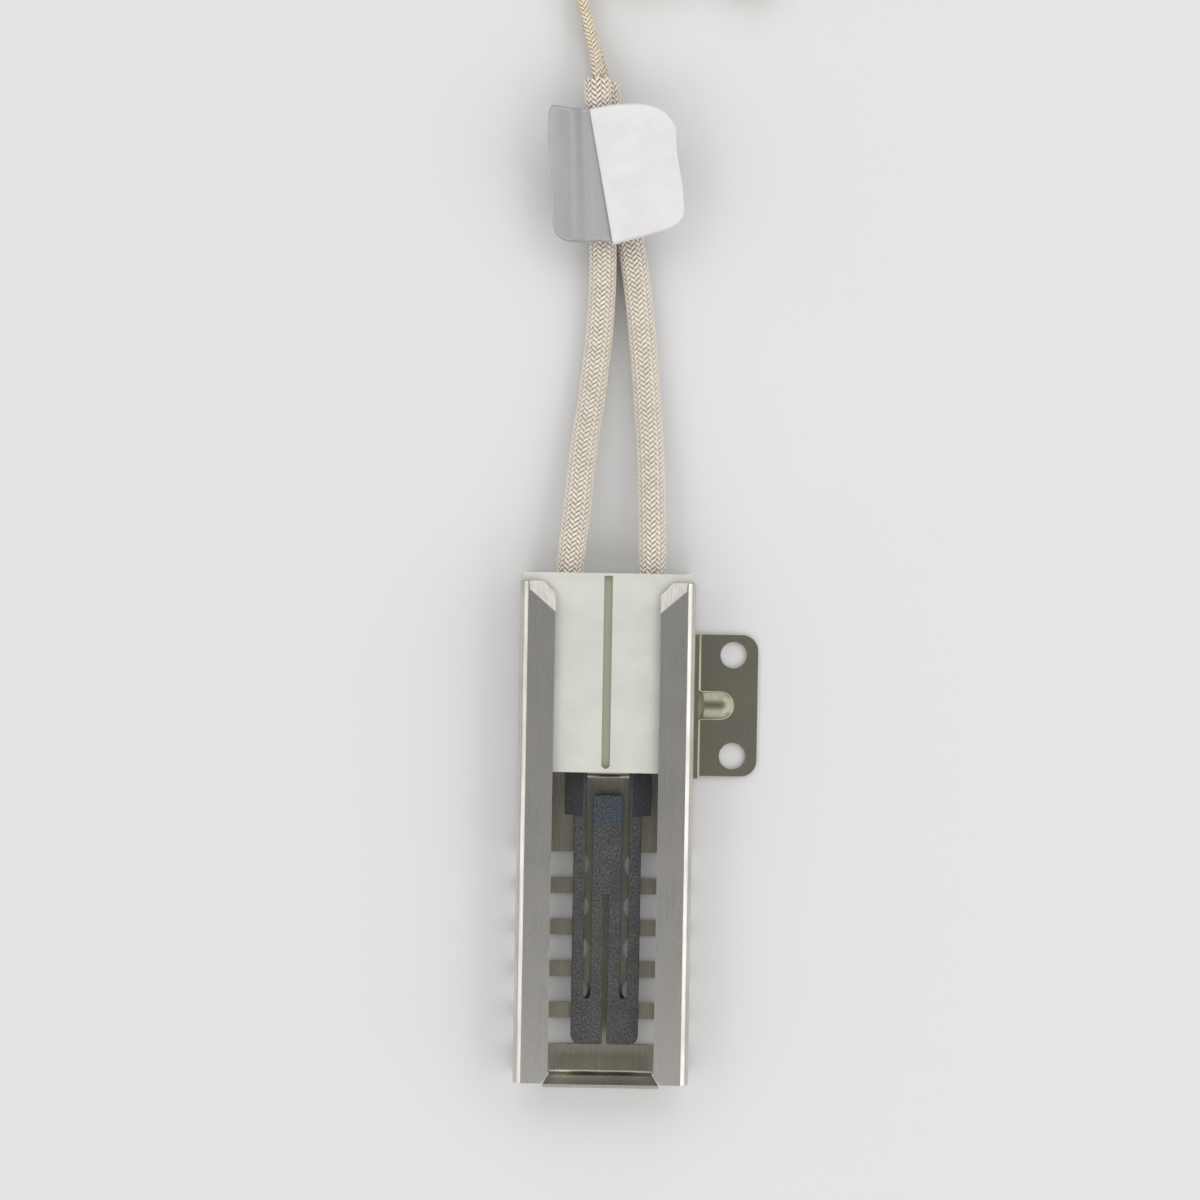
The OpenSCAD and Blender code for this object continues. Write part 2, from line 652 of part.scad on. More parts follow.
module ceramic_block() {
    top = block_top;
    body_half = block_w / 2;
    lip_half = lip_w / 2;
    groove_y0 = block_y0 + groove_end;
    color("#cdcdc1") difference() {
        union() {
            along_y(block_y0, cage_y1 + lip_gap) translate([cage_x, 0])
                rounded_section(-body_half, block_z0, body_half, top, block_low_r, block_edge_r);
            along_y(cage_y1 + lip_gap, block_y1) translate([cage_x, 0])
                rounded_section(-lip_half, block_z0 - lip_drop, lip_half, top,
                    block_low_r, block_edge_r);
        }
        box([cage_x - groove_w / 2, groove_y0 + groove_w / 2, top - groove_d],
            [cage_x + groove_w / 2, block_y1 - groove_stop, top + over]);
        translate([cage_x, groove_y0 + groove_w / 2, top - groove_d])
            cylinder(h = groove_d + over, d = groove_w);
        for (side = [left, right]) {
            terminal_pocket(side);
            cement_mouth(side, block_y0 - over);
            lead_bore(side, bore_r, ferrule_y0 - over, block_y1 + over);
            lead_bore(side, sleeve_socket_r, sleeve_y0, block_y1 + over);
        }
    }
}

// ---------- heating element ----------

// A rectangle in plan with its two lower corners rounded
module tip_outline(x0, x1, y0, y1, r_out, r_in) {
    outer = min(r_out, (x1 - x0) / 2);
    translate([x0, y0 + outer]) square([x1 - x0, y1 - y0 - outer]);
    translate([x0 + outer, y0]) square([x1 - x0 - outer - r_in, outer]);
    translate([x0 + outer, y0 + outer]) circle(outer);
    translate([x1 - r_in, y0 + r_in]) circle(r_in);
    translate([x1 - r_in, y0 + r_in]) square([r_in, outer]);
}

tip_inner_r = 0.5;       // radius of the inner corners at the tips

module element_half() {
    // the folded tip that joins an outer leg to half of the blade
    tip_outline(-leg_out, -slit_w / 2, element_y0, element_y0 + tip_len,
        tip_r, tip_inner_r);
    // outer leg and its pad
    translate([-leg_out, element_y0 + tip_len]) square([leg_w, pad_y1 - element_y0 - tip_len]);
    translate([-pad_edge, block_y0 - pad_out]) square([pad_w, pad_out + element_in]);
    // half of the blade
    translate([-blade_half, element_y0 + tip_len])
        square([blade_half - slit_w / 2, block_y0 - blade_start - element_y0 - tip_len]);
}

module heating_element() {
    color("#3c3e44") translate([inner_x, 0, element_z - element_t / 2])
        linear_extrude(element_t) difference() {
            union() {
                element_half();
                mirror([1, 0]) element_half();
                // the blade is whole above the slit
                translate([-blade_half, block_y0 - slit_start])
                    square([blade_w, slit_start - blade_start]);
            }
            for (s = [-1, 1])
                translate([s * (blade_half + leg_gap / 2), element_y0 + tip_len])
                    circle(d = leg_gap);
        }
}

module element_cement() {
    low = element_z - element_t / 2;
    high = element_z + element_t / 2;
    color("#e6e4dc") for (side = [left, right]) difference() {
        leg_x = inner_x + side * (leg_in + leg_out) / 2;
        cement_mouth(side, block_y0 - cement_proud);
        box([pad_x(side) - pad_w / 2, block_y0 - over, low], [pad_x(side) + pad_w / 2, pad_y1, high]);
        // the leg beside the pad runs through the cement too
        box([leg_x - leg_w / 2, block_y0 - over, low], [leg_x + leg_w / 2, pad_y1, high]);
    }
}

module lead_cement() {
    y1 = sleeve_y0 - lead_cement_gap;
    y0 = y1 - lead_cement_len;
    color("#e6e4dc") for (side = [left, right]) difference() {
        lead_bore(side, bore_r, y0, y1);
        lead_bore(side, lead_d / 2 + cement_gap, y0 - over, y1 + over);
    }
}

// ---------- terminals inside the block ----------

// A nickel strip folded over the end of a pad, with a tail to its ferrule
module terminal_clip(side) {
    outer = pad_x(side) + side * (pad_w / 2);
    inner = pad_x(side) - side * (pad_w / 2 - clip_open / 2);
    half = element_t / 2;
    edge = outer + side * clip_t;
    color("#b9b6ae") {
        for (z = [element_z + half, element_z - half - clip_t])
            box([min(inner, edge), pad_y1 - clip_len, z], [max(inner, edge), pad_y1, z + clip_t]);
        box([min(outer, edge), pad_y1 - clip_len, element_z - half - clip_t],
            [max(outer, edge), pad_y1, element_z + half + clip_t]);
        box([min(outer, edge), pad_y1 - over, element_z - clip_tail_w / 2],
            [max(outer, edge), ferrule_y0, element_z + clip_tail_w / 2]);
        // foot against the ferrule
        box([min(edge, bore_x(side)), ferrule_y0 - clip_t, element_z - clip_tail_w / 2],
            [max(edge, bore_x(side)), ferrule_y0, element_z + clip_tail_w / 2]);
    }
}

module crimp_ferrule(side) {
    color("#a8a49a") difference() {
        lead_bore(side, ferrule_r, ferrule_y0, lead_y0);
        lead_bore(side, conductor_d / 2, ferrule_y0 - over, lead_y0 + over);
    }
}

module conductor(side) {
    color("#c7a37c") lead_bore(side, conductor_d / 2, ferrule_y0, lead_y0);
}

module terminal_clip_left() { terminal_clip(left); }
module terminal_clip_right() { terminal_clip(right); }
module crimp_ferrule_left() { crimp_ferrule(left); }
module crimp_ferrule_right() { crimp_ferrule(right); }
module conductor_left() { conductor(left); }
module conductor_right() { conductor(right); }

// ---------- leads, sleeves, coil and tie ----------

sleeve_sides = 10;
lead_sides = 8;

module sleeve(run) {
    color("#ddd3bf") hollow_tube(sleeve_route(run), sleeve_d / 2, sleeve_bore_d / 2, sleeve_sides);
}

module lead(run) {
    color("#e6d9b8") cord_tube(run, lead_d / 2, lead_sides);
}

module coil_ring(layer) {
    color("#e6d9b8") translate([coil_x, coil_y, coil_z + layer * coil_layer])
        rotate_extrude($fn = 96) translate([coil_r_in, 0])
        square([coil_r_out - coil_r_in, coil_layer]);
}

module sleeve_left() { sleeve(left_run); }
module sleeve_right() { sleeve(right_run); }
module lead_left_run() { lead(left_run); }
module lead_right_run() { lead(right_run); }
module lead_left_coil() { coil_ring(1); }
module lead_right_coil() { coil_ring(0); }
module lead_left_tail() { lead(left_tail); }
module lead_right_tail() { lead(right_tail); }

tie_slack = 0.15;        // between the tie and the coil's inner side
tie_head = [3.6, 3.4, 2.2];

// A narrow cable tie round both layers of the coil, with its head on top
module coil_tie() {
    inner = coil_x + coil_r_in - tie_slack;
    outer = coil_x + coil_r_out;
    top = coil_z + 2 * coil_layer;
    color("#e9e9e4") translate([0, coil_y, 0]) {
        difference() {
            box([inner - tie_t, -tie_w / 2, 0], [outer + tie_t, tie_w / 2, top + tie_t]);
            box([inner, -tie_w, tie_t], [outer, tie_w, top]);
        }
        translate([(inner + outer - tie_head[0]) / 2, -tie_head[1] / 2, top + tie_t])
            cube(tie_head);
    }
}

// ---------- folded tag ----------

// One sheet that lies over the two sleeves, creased between them
module folded_tag() {
    n = len(tag_low);
    lift = [0, 0, tag_t / 2];
    edge_low = [for (p = tag_low) [p[0], tag_y0, p[1] + sleeve_d / 2]];
    edge_high = [for (p = tag_high) [p[0], tag_y1, p[1] + sleeve_d / 2]];
    points = concat(
        [for (p = edge_low) p - lift], [for (p = edge_high) p - lift],
        [for (p = edge_low) p + lift], [for (p = edge_high) p + lift]
    );
    strips = [
        for (i = [0 : n - 2]) each [
            [i, i + 1, n + i], [i + 1, n + i + 1, n + i],
            [2 * n + i, 3 * n + i, 2 * n + i + 1], [2 * n + i + 1, 3 * n + i, 3 * n + i + 1],
            [i, 2 * n + i, 2 * n + i + 1, i + 1],
            [n + i, n + i + 1, 3 * n + i + 1, 3 * n + i]
        ]
    ];
    ends = [[0, n, 3 * n, 2 * n], [n - 1, 3 * n - 1, 4 * n - 1, 2 * n - 1]];
    color("#e4e5e6") intersection() {
        polyhedron(points, concat(strips, ends), convexity = 6);
        linear_extrude(2 * cage_h) offset(tag_corner_r, $fn = 32) offset(delta = -tag_corner_r)
            polygon(tag_outline);
    }
}

// ---------- connector ----------

latch = [3.2, 5, 0.8];   // the ridge on top that a mating housing clips over
latch_inset = 2;         // from the mating face to the ridge

module connector_housing() {
    half = connector_w / 2;
    slot = contact_w / 2 + fit;
    y0 = connector_y1 - connector_len;
    color("#ece9df") difference() {
        union() {
            along_y(y0, connector_y1) translate([connector_x, 0])
                rounded_section(-half, 0, half, connector_h, connector_edge_r, connector_edge_r);
            translate([connector_x - latch[0] / 2, y0 + latch_inset, connector_h]) cube(latch);
        }
        for (side = [left, right])
            translate([connector_x + side * connector_pitch / 2, 0, connector_z]) {
                translate([0, connector_y1 + over, 0]) rotate([90, 0, 0])
                    cylinder(h = lead_seat + over, r = cavity_r);
                box([-slot, y0 - over, -slot], [slot, connector_y1 - lead_seat + fit, slot]);
            }
    }
}

// A square socket contact
module connector_contact(side) {
    x = connector_x + side * connector_pitch / 2;
    y0 = connector_y1 - connector_len + contact_inset;
    y1 = connector_y1 - lead_seat;
    half = contact_w / 2;
    hollow = half - contact_t;
    color("#c9a54e") difference() {
        box([x - half, y0, connector_z - half], [x + half, y1, connector_z + half]);
        box([x - hollow, y0 - over, connector_z - hollow],
            [x + hollow, y1 - contact_back, connector_z + hollow]);
    }
}

// The left lead's tail comes over to the right-hand cavity, and the right lead's to the other
module connector_contact_left() { connector_contact(right); }
module connector_contact_right() { connector_contact(left); }

guard_cage();
mounting_bracket();
weld_nuggets();
ceramic_block();
heating_element();
element_cement();
lead_cement();
terminal_clip_left();
terminal_clip_right();
crimp_ferrule_left();
crimp_ferrule_right();
conductor_left();
conductor_right();
sleeve_left();
sleeve_right();
lead_left_run();
lead_right_run();
lead_left_coil();
lead_right_coil();
lead_left_tail();
lead_right_tail();
coil_tie();
folded_tag();
connector_housing();
connector_contact_left();
connector_contact_right();
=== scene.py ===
# Flat hot-surface igniter for a gas oven burner: the finished look of its pieces, in metres, in the
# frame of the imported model. Origin: between the two bracket holes, +Y towards the leads, +Z up.
import math

import bmesh
import bpy
from mathutils import Matrix, Vector


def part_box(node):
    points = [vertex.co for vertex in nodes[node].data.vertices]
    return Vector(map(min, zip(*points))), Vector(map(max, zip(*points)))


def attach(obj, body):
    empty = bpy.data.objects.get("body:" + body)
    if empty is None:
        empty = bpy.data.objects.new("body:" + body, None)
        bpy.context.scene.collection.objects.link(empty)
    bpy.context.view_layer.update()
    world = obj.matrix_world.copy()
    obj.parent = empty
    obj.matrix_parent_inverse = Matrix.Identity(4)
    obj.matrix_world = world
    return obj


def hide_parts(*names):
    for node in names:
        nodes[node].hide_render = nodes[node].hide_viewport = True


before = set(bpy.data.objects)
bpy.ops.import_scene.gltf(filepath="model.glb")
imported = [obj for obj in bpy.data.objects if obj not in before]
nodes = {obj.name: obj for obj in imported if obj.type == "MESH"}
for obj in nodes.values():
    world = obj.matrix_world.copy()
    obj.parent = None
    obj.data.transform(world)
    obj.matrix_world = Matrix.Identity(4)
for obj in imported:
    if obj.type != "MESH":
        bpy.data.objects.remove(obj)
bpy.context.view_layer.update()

MM = 0.001
TOUCHING = 0.001 * MM  # points nearer to each other than this are one point

# ---------------------------------------------------------------- camera, floor and studio light
# The camera looks straight down on the igniter as it lies on a table, from a little over half a
# metre, so that the heights of the cage walls and of the tag show in perspective.


def new_object(name, data):
    """A new object, in the scene."""
    made = bpy.data.objects.new(name, data)
    bpy.context.scene.collection.objects.link(made)
    return made


def paint(hex_colour):
    """An sRGB hex colour as the linear colour that shaders take."""
    parts = [int(hex_colour[i:i + 2], 16) / 255 for i in (1, 3, 5)]
    return [p / 12.92 if p <= 0.04045 else ((p + 0.055) / 1.055) ** 2.4 for p in parts] + [1]


def add(tree, kind, settings, inputs):
    """Adds one node. Settings are its own properties, inputs are values or other nodes' outputs."""
    node = tree.nodes.new(kind)
    for name, value in settings.items():
        setattr(node, name, value)
    for name, value in inputs.items():
        if isinstance(value, bpy.types.NodeSocket):
            tree.links.new(value, node.inputs[name])
        else:
            node.inputs[name].default_value = value
    return node


def blank_material(name):
    """A new material with its tree emptied."""
    material = bpy.data.materials.new(name)
    material.use_nodes = True
    material.node_tree.nodes.clear()
    return material, material.node_tree


def surface(tree, inputs):
    """The shader at the end of a material's tree."""
    shader = add(tree, "ShaderNodeBsdfPrincipled", {}, inputs)
    add(tree, "ShaderNodeOutputMaterial", {}, {"Surface": shader.outputs[0]})


camera = new_object("camera", bpy.data.cameras.new("camera"))
camera.data.sensor_width = 36
camera.data.lens = 84.2
camera.data.clip_start = 0.01
camera.matrix_world = (
    Matrix.Translation((-25.4 * MM, 19.5 * MM, 530 * MM))
    @ Matrix.Rotation(math.radians(0.98), 4, "Z")
)
bpy.context.scene.camera = camera
bpy.context.scene.view_settings.view_transform = "Standard"

# Matt white laminate table top, even and a little grey
table_top, tree = blank_material("matt_table_top")
surface(tree, {"Base Color": paint("#d6d6d8"), "Roughness": 0.7, "Specular IOR Level": 0.2})
floor_mesh = bpy.data.meshes.new("table")
reach, drop = 6, -0.05 * MM
floor_mesh.from_pydata(
    [(-reach, -reach, drop), (reach, -reach, drop), (reach, reach, drop), (-reach, reach, drop)],
    [], [(0, 1, 2, 3)])
floor_mesh.materials.append(table_top)
table = new_object("table", floor_mesh)

# Softboxes stand all round, from 20 to 80 degrees off the vertical, and it is darker straight
# overhead, so flat steel looks grey while its bends catch bright bands.
world = bpy.data.worlds.new("studio")
bpy.context.scene.world = world
world.use_nodes = True
world.node_tree.nodes["Background"].inputs["Color"].default_value = paint("#eceff2")
world.node_tree.nodes["Background"].inputs["Strength"].default_value = 0.24
light_centre, light_distance = (-20 * MM, 20 * MM, 0), 1.3
softboxes = [  # name, bearing round the table, angle from overhead, width and height, power
    ("softbox_left", 180, 54, 1.8, 1.2, 7.9),
    ("softbox_right", 0, 53, 1.8, 1.2, 10.1),
    ("softbox_top", 90, 45, 1.8, 1.25, 8.8),
    ("softbox_bottom", 270, 42, 1.8, 1.1, 8.2),
]
for name, bearing, tilt, width, height, power in softboxes:
    light = bpy.data.lights.new(name, "AREA")
    light.shape = "RECTANGLE"
    light.size, light.size_y, light.energy = width, height, power
    light.color = paint("#fffefa")[:3]
    lamp = new_object(name, light)
    lamp.matrix_world = (
        Matrix.Translation(light_centre)
        @ Matrix.Rotation(math.radians(bearing), 4, "Z")
        @ Matrix.Rotation(math.radians(tilt), 4, "Y")
        @ Matrix.Translation((0, 0, light_distance))
        @ Matrix.Rotation(math.radians(90), 4, "Z")
    )

# ---------------------------------------------------------------- leads
# Two stranded leads insulated with a varnished glass braid, 2.25 mm over the braid. Each is cemented
# into the block, runs through its sleeve, and ends in the connector. The stored length is a flat coil.
lead_d = 2.25 * MM
# The routes are in millimetres. The left lead's coil lies on top of the right lead's.
coil_centre = (-18.3, 148.5)
left_coil_z, right_coil_z = 3.85, 1.55
left_turns, right_turns = 2, 1.83
left_run = [
    (-31.3, 13, 6.1), (-31.3, 22, 6.1), (-30.8, 29, 5.9), (-30, 36, 5.4),
    (-29.5, 42, 4.7), (-28.8, 49, 4), (-27.8, 56, 3.4), (-27, 63, 3),
    (-26.4, 69, 2.8), (-26, 76, 2.9), (-25.9, 83, 3.6), (-26.1, 90, 5.2),
    (-26.5, 96, 6.6), (-26.9, 103, 7.5), (-27.2, 110, 7.9), (-27.6, 116.6, 8),
    (-28.1, 121.5, 6.2), (-29.4, 127, 4.4), (-30.8, 133, 3.6), (-31.7, 139, 3.7),
    (-32.1, 144, 3.85), (-32.2, 148.5, 3.85),
]
right_run = [
    (-15.8, 13, 6.1), (-15.8, 22, 6.1), (-15.8, 29, 5.9), (-16, 36, 5.4),
    (-16.2, 42, 4.7), (-16.5, 49, 4), (-17.1, 56, 3.4), (-17.7, 63, 3),
    (-18.3, 69, 2.8), (-19.1, 76, 2.7), (-20.1, 83, 2.7), (-21.4, 90, 2.7),
    (-22.6, 96, 2.7), (-24, 103, 2.7), (-25.3, 110, 2.7), (-26.1, 116.6, 2.7),
    (-27.4, 121.5, 1.7), (-29.4, 127, 1.2), (-30.8, 133, 1.2), (-31.7, 139, 1.3),
    (-32.1, 144, 1.55), (-32.2, 148.5, 1.55),
]
left_tail = [
    (-27.5, 148.5, 3.85), (-26.1, 153, 4), (-22.7, 156.1, 4.7), (-18.3, 157.1, 5.6),
    (-13.7, 157.1, 6.2), (-9, 157.1, 6.3), (-4.7, 157.1, 5.9), (-0.7, 156, 5.1),
    (2.2, 153.1, 4.2), (3.3, 149.1, 3.5), (3.3, 145, 3.3), (3.3, 142, 3.3),
]
right_tail = [
    (-26, 144, 1.55), (-25.9, 148.5, 1.7), (-24, 151.8, 2.5), (-21.4, 154, 3.5),
    (-18.3, 154.8, 4.6), (-14.5, 154.8, 5.7), (-10.5, 154.8, 6.2), (-6.6, 154.8, 6.2),
    (-3.7, 154, 5.9), (-1.7, 152, 5), (-0.9, 149.1, 4), (-0.9, 145, 3.3), (-0.9, 142, 3.3),
]


def coil_turns(turns, level, start_r=13.9, pitch=2.35, per_turn=24):
    """Points of a flat spiral that winds inwards, clockwise seen from above, from the coil's left."""
    count = round(turns * per_turn)
    points = []
    for i in range(1, count):
        angle = math.radians(180 - 360 * i / per_turn)
        r = start_r - pitch * i / per_turn
        points.append((coil_centre[0] + r * math.cos(angle),
                       coil_centre[1] + r * math.sin(angle), level))
    return points


def smooth_curve(points, steps_in):
    """A Catmull-Rom curve through the points. steps_in gives each span's steps from its length."""
    p = [Vector(q) for q in points]
    p = [2 * p[0] - p[1]] + p + [2 * p[-1] - p[-2]]
    curve = []
    for a, b, c, d in zip(p, p[1:], p[2:], p[3:]):
        count = steps_in((c - b).length)
        for i in range(count):
            t = i / count
            curve.append(0.5 * (2 * b + (c - a) * t + (2 * a - 5 * b + 4 * c - d) * t ** 2
                                + (3 * b - a - 3 * c + d) * t ** 3))
    return curve + [p[-2]]


def smooth_route(points, step=0.5):
    """The smooth curve in metres, with a point about every step millimetres."""
    return [q * MM for q in smooth_curve(points, lambda span: max(1, round(span / step)))]


left_route = smooth_route(left_run + coil_turns(left_turns, left_coil_z) + left_tail)
right_route = smooth_route(right_run + coil_turns(right_turns, right_coil_z) + right_tail)


def place_on(tree):
    """The position on the piece, in metres."""
    return add(tree, "ShaderNodeTexCoord", {}, {}).outputs["Object"]


def noise(tree, place, size, detail):
    """Cloudy noise with patches of the given size, in metres."""
    return add(tree, "ShaderNodeTexNoise", {}, {
        "Vector": place, "Scale": 1 / size, "Detail": detail}).outputs[0]


def remap(tree, value, low, high, to_low=0.0, to_high=1.0):
    """A value moved from the range low to high into the range to_low to to_high."""
    return add(tree, "ShaderNodeMapRange", {}, {
        "Value": value, "From Min": low, "From Max": high,
        "To Min": to_low, "To Max": to_high}).outputs[0]


def blend(tree, amount, first, second, blend_type="MIX"):
    """The first colour where the amount is 0, and the second where it is 1."""
    return add(tree, "ShaderNodeMix", {"data_type": "RGBA", "blend_type": blend_type}, {
        0: amount, 6: first, 7: second}).outputs[2]


def scaled(tree, vector, amount):
    """A colour or an arrow times an amount."""
    return add(tree, "ShaderNodeVectorMath", {"operation": "SCALE"}, {
        0: vector, "Scale": amount}).outputs[0]


def relief(tree, height, strength, depth, under=None):
    """A shading normal that follows a height, laid over another normal where one is given."""
    inputs = {"Height": height, "Strength": strength, "Distance": depth}
    if under is not None:
        inputs["Normal"] = under
    return add(tree, "ShaderNodeBump", {}, inputs).outputs[0]


def yarn_material(name, top, hollow_dust_and_shade, roughness, sheen):
    """Braided glass yarn, pale where it comes up and darker in the hollows, partly from varnish and
    dust that gather there and partly as painted shade where less light gets in. The attribute "raised"
    is 1 on top and 0 underneath."""
    material, tree = blank_material(name)
    raised = add(tree, "ShaderNodeAttribute", {"attribute_name": "raised"}, {}).outputs["Fac"]
    place = place_on(tree)
    # painted shade with some dust: the yarns underneath are darkened towards the hollow colour
    yarn = blend(tree, remap(tree, raised, 0.1, 0.8), paint(hollow_dust_and_shade), paint(top))
    mottle = noise(tree, place, 2 * MM, 3.0)  # slight patches of varnish
    fibres = noise(tree, place, 0.06 * MM, 2.0)  # bundled filaments, coarser than life
    surface(tree, {
        "Base Color": scaled(tree, yarn, remap(tree, mottle, 0.3, 0.7, 0.88, 1.04)),
        "Roughness": roughness, "IOR": 1.5, "Sheen Weight": sheen,
        "Normal": relief(tree, fibres, 0.5, 0.02 * MM)})
    return material


lead_braid = yarn_material("varnished_glass_braid", "#ebdfca", "#b29c7b", 0.5, 0.1)

# The braid as a braiding machine lays it: yarns wind both ways round a core, and each passes over
# two and under two of those it meets, which gives lengthwise columns of slanted floats. It serves
# the leads and, with more and wider yarns, their sleeves.
braider = bpy.data.node_groups.new("braider", "GeometryNodeTree")
braider.interface.new_socket("Route", in_out="INPUT", socket_type="NodeSocketGeometry")
for name, kind in (("Outer Diameter", "Float"), ("Yarns Each Way", "Int"), ("Lay Length", "Float"),
                   ("Yarn Width", "Float"), ("Yarn Thickness", "Float"), ("Core Wall", "Float"),
                   ("Braid Starts At", "Float"), ("Points Per Crossing", "Int"),
                   ("Yarn Sides", "Int"), ("Material", "Material")):
    braider.interface.new_socket(name, in_out="INPUT", socket_type="NodeSocket" + kind)
braider.interface.new_socket("Braid", in_out="OUTPUT", socket_type="NodeSocketGeometry")


def math_node(tree, operation, *values):
    """One arithmetic node, and its output."""
    return add(tree, "ShaderNodeMath", {"operation": operation}, dict(enumerate(values))).outputs[0]


given = add(braider, "NodeGroupInput", {}, {}).outputs
outer_r = math_node(braider, "MULTIPLY", given["Outer Diameter"], 0.5)
yarn_t = given["Yarn Thickness"]
yarn_rise = 0.42  # of its thickness, up and down from the braid's middle
crown_room = 0.92  # that rise and half a yarn, so that the crowns reach the outer diameter
core_depth = 1.2  # yarns down to the core's face, in which the yarns underneath lie half sunk
wave = math_node(braider, "MULTIPLY", yarn_t, yarn_rise)
middle_r = math_node(braider, "SUBTRACT", outer_r,
                     math_node(braider, "MULTIPLY", yarn_t, crown_room))
# The yarns are left out where a sleeve hides them, and the core runs the whole way
route_length = add(braider, "GeometryNodeCurveLength", {}, {0: given["Route"]}).outputs[0]
shown = add(braider, "GeometryNodeTrimCurve", {"mode": "LENGTH"}, {
    0: given["Route"], 4: given["Braid Starts At"], 5: route_length}).outputs[0]
shown_length = add(braider, "GeometryNodeCurveLength", {}, {0: shown}).outputs[0]
# One line for each yarn, with the same number of points between any two crossings
lays = math_node(braider, "DIVIDE", shown_length, given["Lay Length"])
crossings = math_node(braider, "MULTIPLY", math_node(braider, "MULTIPLY", lays, 2.0),
                      given["Yarns Each Way"])
count = math_node(braider, "ADD", math_node(braider, "ROUND", math_node(
    braider, "MULTIPLY", crossings, given["Points Per Crossing"])), 1.0)
one_yarn = add(braider, "GeometryNodeResampleCurve", {"mode": "COUNT"}, {
    "Curve": add(braider, "GeometryNodeCurvePrimitiveLine", {}, {}).outputs[0], "Count": count})
yarns = add(braider, "GeometryNodeDuplicateElements", {"domain": "SPLINE"}, {
    "Geometry": one_yarn.outputs[0],
    "Amount": math_node(braider, "MULTIPLY", given["Yarns Each Way"], 2.0)})
number = yarns.outputs["Duplicate Index"]
index = add(braider, "GeometryNodeInputIndex", {}, {}).outputs[0]
# Where each point lies: how far along, which way its yarn winds, and how far round the core
along = math_node(braider, "DIVIDE", math_node(braider, "MODULO", index, count),
                  math_node(braider, "SUBTRACT", count, 1.0))
way = math_node(braider, "SUBTRACT", math_node(
    braider, "MULTIPLY", math_node(braider, "MODULO", number, 2.0), 2.0), 1.0)
pair = math_node(braider, "FLOOR", math_node(braider, "DIVIDE", number, 2.0))
start_turn = math_node(braider, "DIVIDE", pair, given["Yarns Each Way"])
turned = math_node(braider, "MULTIPLY", math_node(braider, "MULTIPLY", along, lays), way)
angle = math_node(braider, "MULTIPLY", math_node(braider, "ADD", start_turn, turned), math.tau)
# Each yarn rises over two of those it meets and sinks under the next two
crossed = math_node(braider, "MULTIPLY", along, crossings)
shift = math_node(braider, "MULTIPLY", way, math_node(braider, "MULTIPLY_ADD", pair, 2.0, -0.5))
over_two = math_node(braider, "COSINE", math_node(
    braider, "MULTIPLY", math_node(braider, "ADD", crossed, shift), math.pi / 2))
weave = math_node(braider, "MULTIPLY", way, over_two)
radius = math_node(braider, "ADD", middle_r, math_node(braider, "MULTIPLY", weave, wave))
# The points are set out from the route, and the yarn's flat section faces outwards
on_route = add(braider, "GeometryNodeSampleCurve", {"mode": "FACTOR"}, {
    "Curves": shown, "Factor": along})
sideways = add(braider, "ShaderNodeVectorMath", {"operation": "CROSS_PRODUCT"}, {
    0: on_route.outputs["Tangent"], 1: on_route.outputs["Normal"]}).outputs[0]
outward = add(braider, "ShaderNodeVectorMath", {"operation": "ADD"}, {
    0: scaled(braider, on_route.outputs["Normal"], math_node(braider, "COSINE", angle)),
    1: scaled(braider, sideways, math_node(braider, "SINE", angle))}).outputs[0]
offset = scaled(braider, outward, radius)
laid = add(braider, "GeometryNodeSetPosition", {}, {
    "Geometry": yarns.outputs[0],
    "Position": add(braider, "ShaderNodeVectorMath", {"operation": "ADD"}, {
        0: on_route.outputs["Position"], 1: offset}).outputs[0]}).outputs[0]
laid = add(braider, "GeometryNodeStoreNamedAttribute", {"data_type": "FLOAT"}, {
    "Geometry": laid, "Name": "raised",
    "Value": math_node(braider, "MULTIPLY_ADD", weave, 0.5, 0.5)}).outputs[0]
laid = add(braider, "GeometryNodeSetCurveNormal", {"mode": "FREE"}, {
    "Curve": laid, "Normal": outward}).outputs[0]
section = add(braider, "GeometryNodeTransform", {}, {
    "Geometry": add(braider, "GeometryNodeCurvePrimitiveCircle", {}, {
        "Resolution": given["Yarn Sides"], "Radius": 0.5}).outputs[0],
    "Scale": add(braider, "ShaderNodeCombineXYZ", {}, {
        "X": yarn_t, "Y": given["Yarn Width"], "Z": 1.0}).outputs[0]}).outputs[0]
yarn_mesh = add(braider, "GeometryNodeCurveToMesh", {}, {
    "Curve": laid, "Profile Curve": section, "Fill Caps": True}).outputs[0]
# The core is a tube with a wall, so that a cut end shows its bore
core_r = math_node(braider, "SUBTRACT", outer_r,
                   math_node(braider, "MULTIPLY", yarn_t, core_depth))
core = add(braider, "GeometryNodeCurveToMesh", {}, {
    "Curve": given["Route"], "Profile Curve": add(braider, "GeometryNodeCurvePrimitiveCircle", {}, {
        "Resolution": 20, "Radius": core_r}).outputs[0]}).outputs[0]
inside = add(braider, "GeometryNodeExtrudeMesh", {"mode": "FACES"}, {
    "Mesh": core, "Individual": False,
    "Offset Scale": math_node(braider, "MULTIPLY", given["Core Wall"], -1.0)}).outputs[0]
both = add(braider, "GeometryNodeJoinGeometry", {}, {
    0: add(braider, "GeometryNodeFlipFaces", {}, {0: inside}).outputs[0]})
braider.links.new(core, both.inputs[0])
core_wall = add(braider, "GeometryNodeMergeByDistance", {}, {
    "Geometry": both.outputs[0], "Distance": TOUCHING}).outputs[0]
whole = add(braider, "GeometryNodeJoinGeometry", {}, {0: core_wall})
braider.links.new(yarn_mesh, whole.inputs[0])
smooth = add(braider, "GeometryNodeSetShadeSmooth", {}, {0: whole.outputs[0]}).outputs[0]
real = add(braider, "GeometryNodeRealizeInstances", {}, {0: smooth}).outputs[0]
covered = add(braider, "GeometryNodeSetMaterial", {}, {
    0: real, "Material": given["Material"]}).outputs[0]
add(braider, "NodeGroupOutput", {}, {0: covered})


